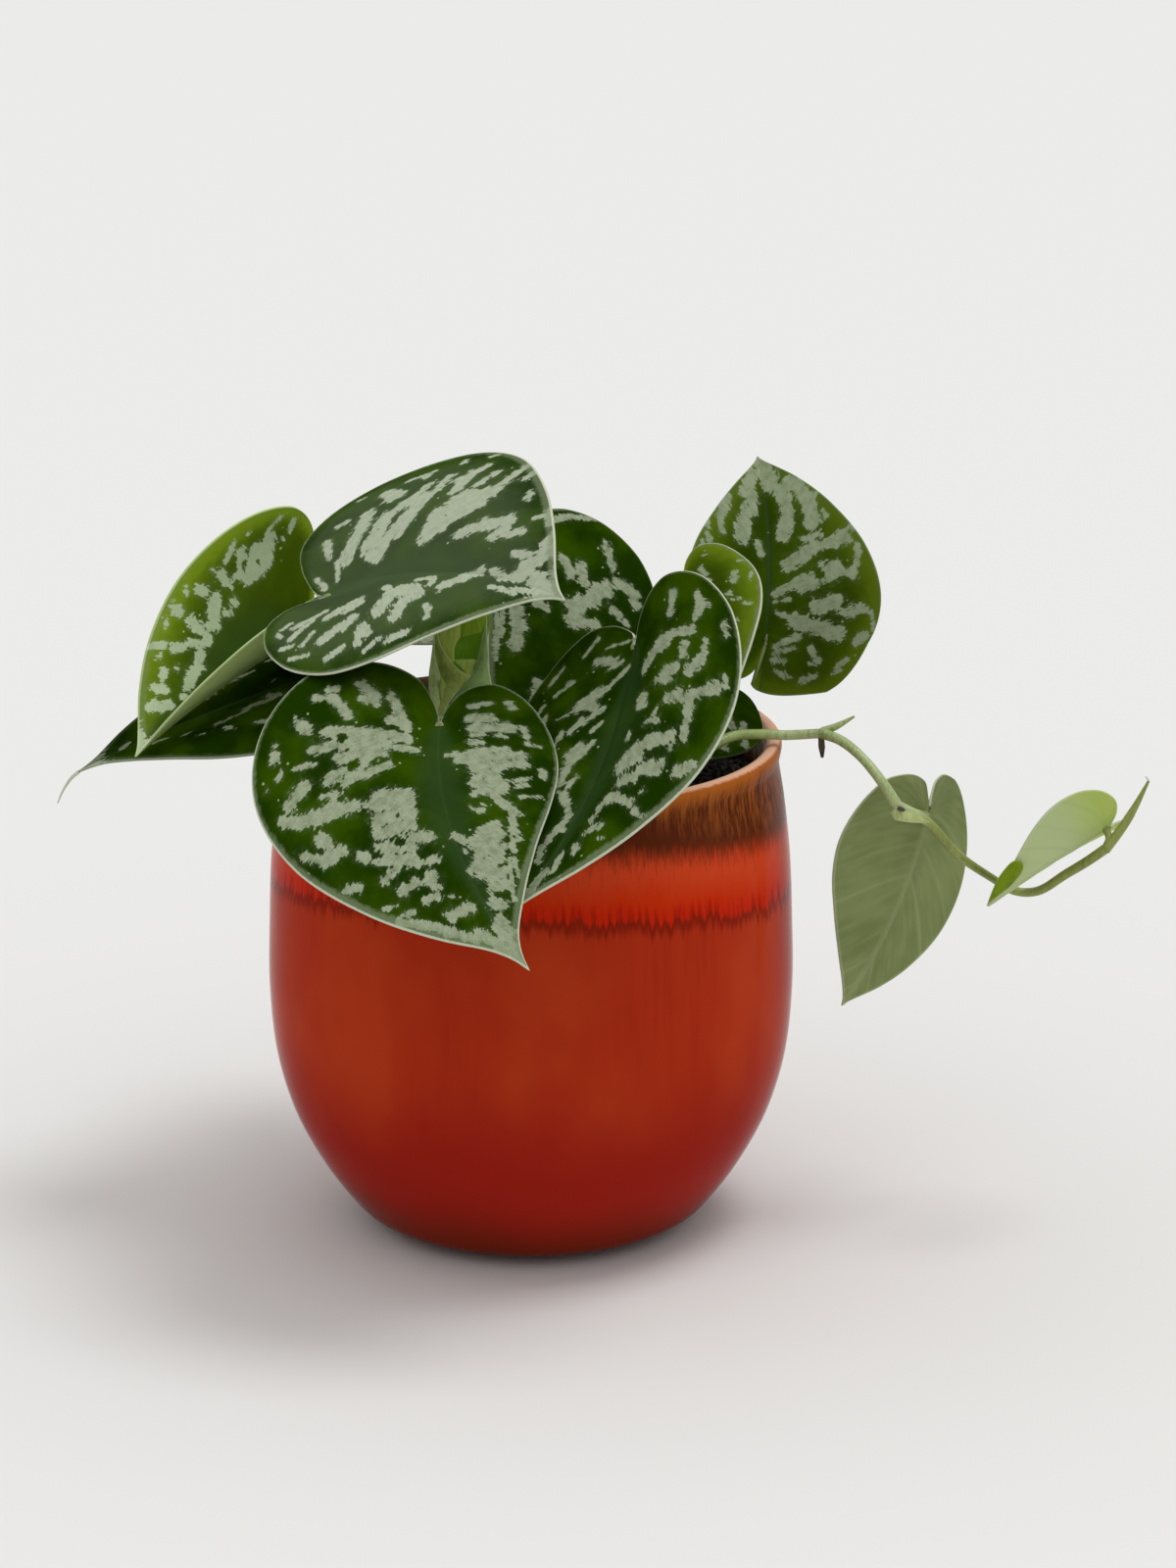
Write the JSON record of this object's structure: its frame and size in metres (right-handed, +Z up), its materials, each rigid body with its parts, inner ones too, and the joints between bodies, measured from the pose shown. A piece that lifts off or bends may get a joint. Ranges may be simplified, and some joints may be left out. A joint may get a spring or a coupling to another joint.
{
  "type": "satin pothos in a glazed pot",
  "caption": "Heart-leaved satin pothos with silver-marked dark leaves and one trailing vine, growing in a rounded orange-red glazed pot.",
  "frame": {"origin": "centre of the pot's flat foot, on the surface it stands on", "axes": "+Z up, -Y towards the front of the plant, +X to the side where the vine trails"},
  "size_m": [0.2834, 0.21, 0.2105],
  "materials": {
    "glaze": "glossy orange-red glaze, deeper red towards the foot, with brown streaked bands under the rim",
    "soil": "matt dark brown potting mix with bark crumbs",
    "foliage": "satin dark green blade with silver-sage patches",
    "pale_foliage": "satin pale grey-green underside of a young blade",
    "stalk": "smooth pale green stalk with satin sheen"
  },
  "bodies": {
    "root": {"pot": "glaze", "soil": "soil", "stem_left": "stalk", "stem_right": "stalk", "stem_back": "stalk", "vine_stem": "stalk", "leaf_front": "foliage", "leaf_right_front": "foliage", "leaf_top": "foliage", "leaf_left": "foliage", "leaf_left_low": "foliage", "leaf_back_mid": "foliage", "leaf_small_right": "foliage", "leaf_back_right": "foliage", "leaf_inner": "foliage", "leaf_rear_left": "foliage", "leaf_rear_right": "foliage", "vine_leaf_hanging": "pale_foliage", "vine_leaf_young": "pale_foliage"}
  },
  "joints": []
}
